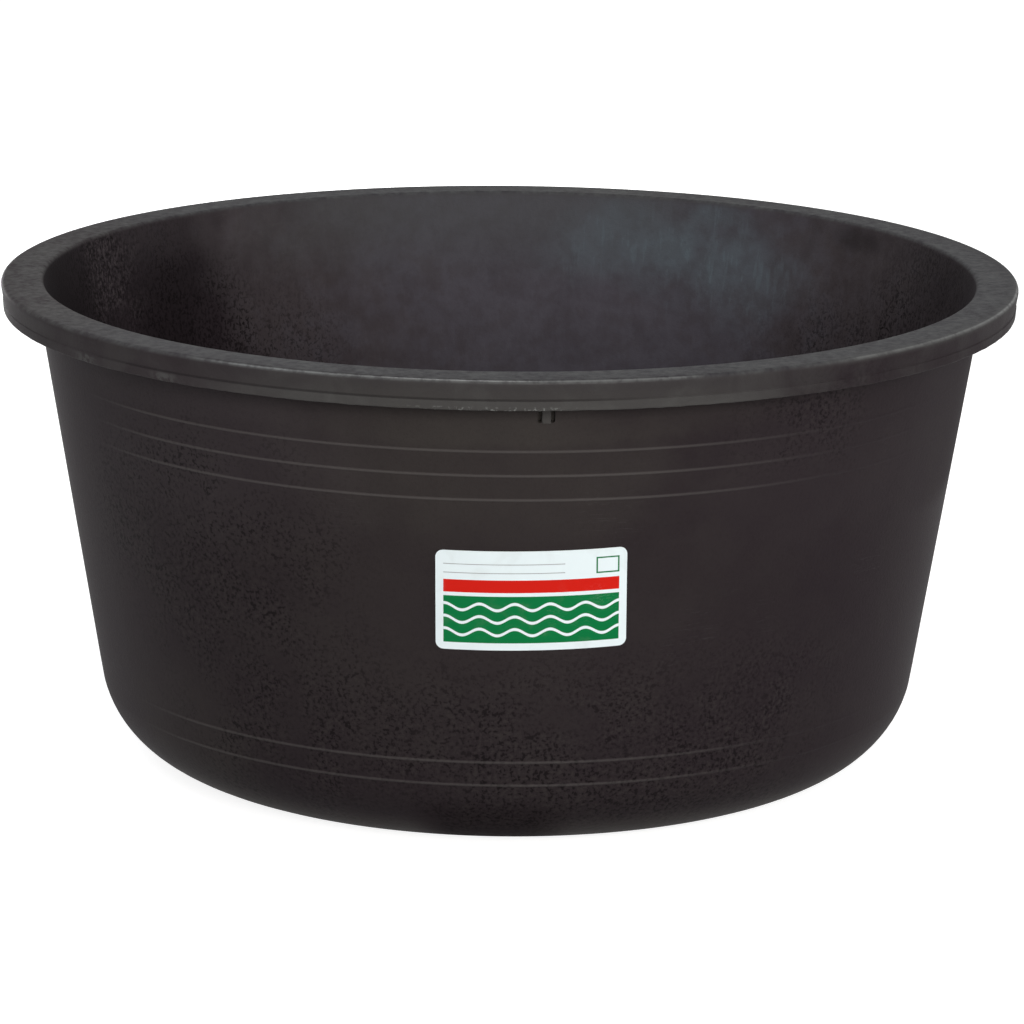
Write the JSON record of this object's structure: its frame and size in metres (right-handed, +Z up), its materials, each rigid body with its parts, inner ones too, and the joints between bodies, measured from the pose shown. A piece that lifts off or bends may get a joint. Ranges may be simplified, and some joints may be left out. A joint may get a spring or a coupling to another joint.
{
  "type": "round tub",
  "caption": "Round tapered farm tub in black plastic with a flat rim, a turned-down lip, raised beads round the wall, tie slots under the lip and a label, for feed, water or mixing.",
  "frame": {"origin": "on the floor, under the middle of the tub", "axes": "+Z up along the tub's axis, front of the tub with its label and tie slots towards -Y"},
  "size_m": [0.559, 0.559, 0.268],
  "materials": {
    "tub_plastic": "matte black moulded polyethylene with a fine grain and grey scuffs",
    "label_film": "satin white film printed in green and red",
    "label_adhesive": "clear tacky layer"
  },
  "bodies": {
    "root": {"tub_shell": "tub_plastic", "label_film": "label_film", "label_adhesive": "label_adhesive"}
  },
  "joints": []
}
